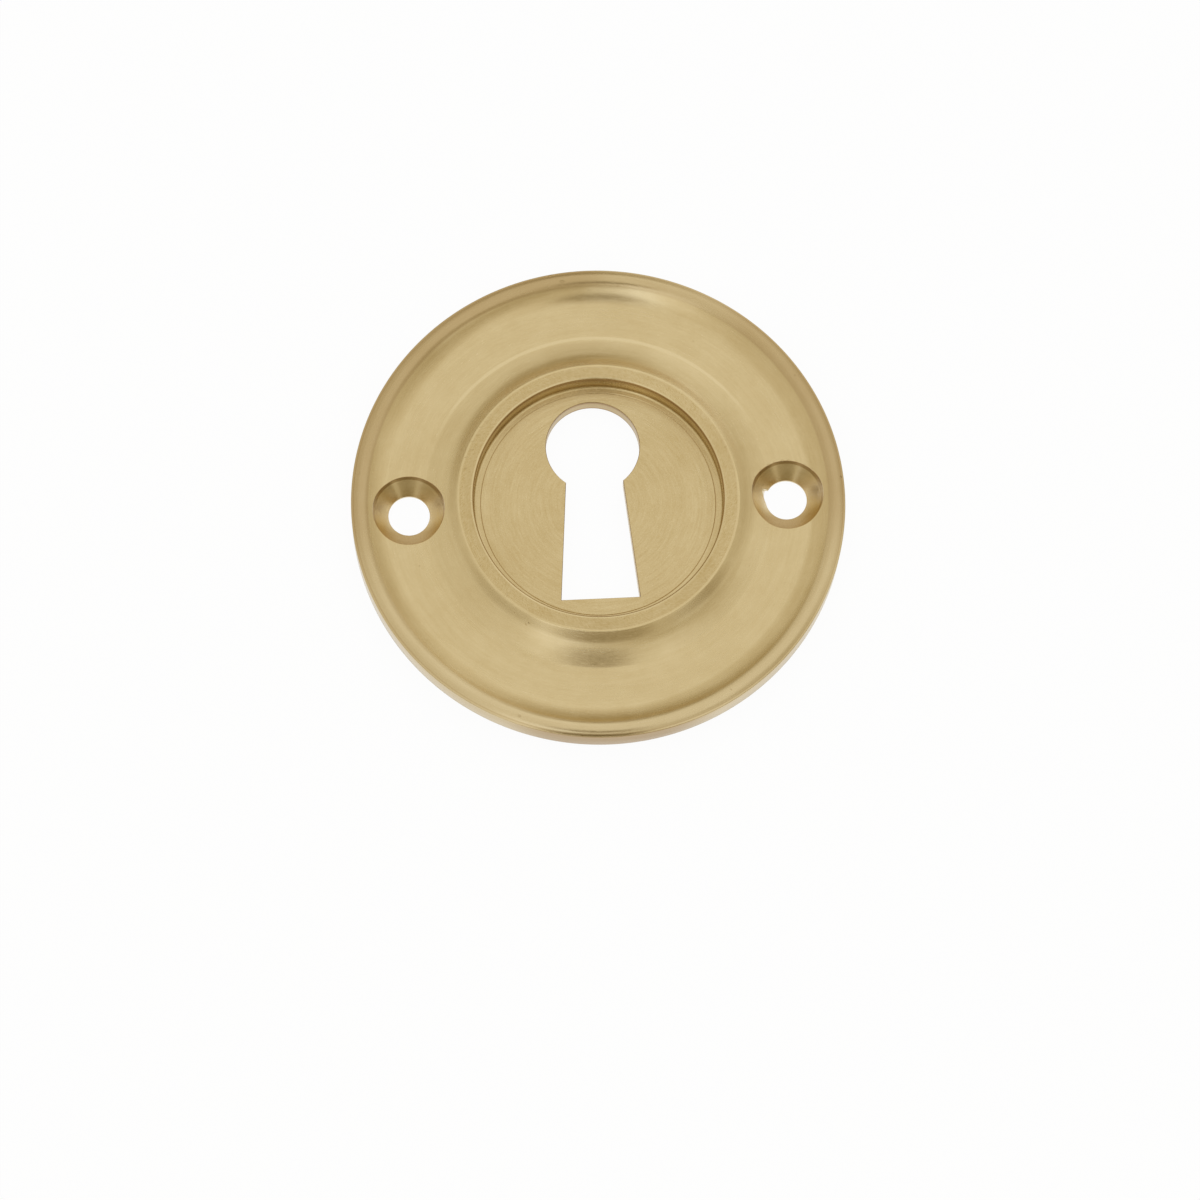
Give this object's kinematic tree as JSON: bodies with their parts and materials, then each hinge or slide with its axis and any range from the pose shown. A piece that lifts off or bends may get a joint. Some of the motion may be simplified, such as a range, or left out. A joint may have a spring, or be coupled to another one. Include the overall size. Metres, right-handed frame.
{
  "type": "keyhole escutcheon",
  "caption": "Round turned brass keyhole escutcheon: flat back, beaded rim, raised ring round a recessed floor with a flared keyhole, countersunk screw holes either side.",
  "frame": {"origin": "centre of the flat back face, which seats on the door or drawer front", "axes": "+Z out of the front face, +Y toward the round end of the keyhole, X through both screw holes"},
  "size_m": [0.0508, 0.0508, 0.0038],
  "materials": {
    "satin_brass": "satin, unlacquered, with concentric turning marks"
  },
  "bodies": {
    "root": {"escutcheon": "satin_brass"}
  },
  "joints": []
}
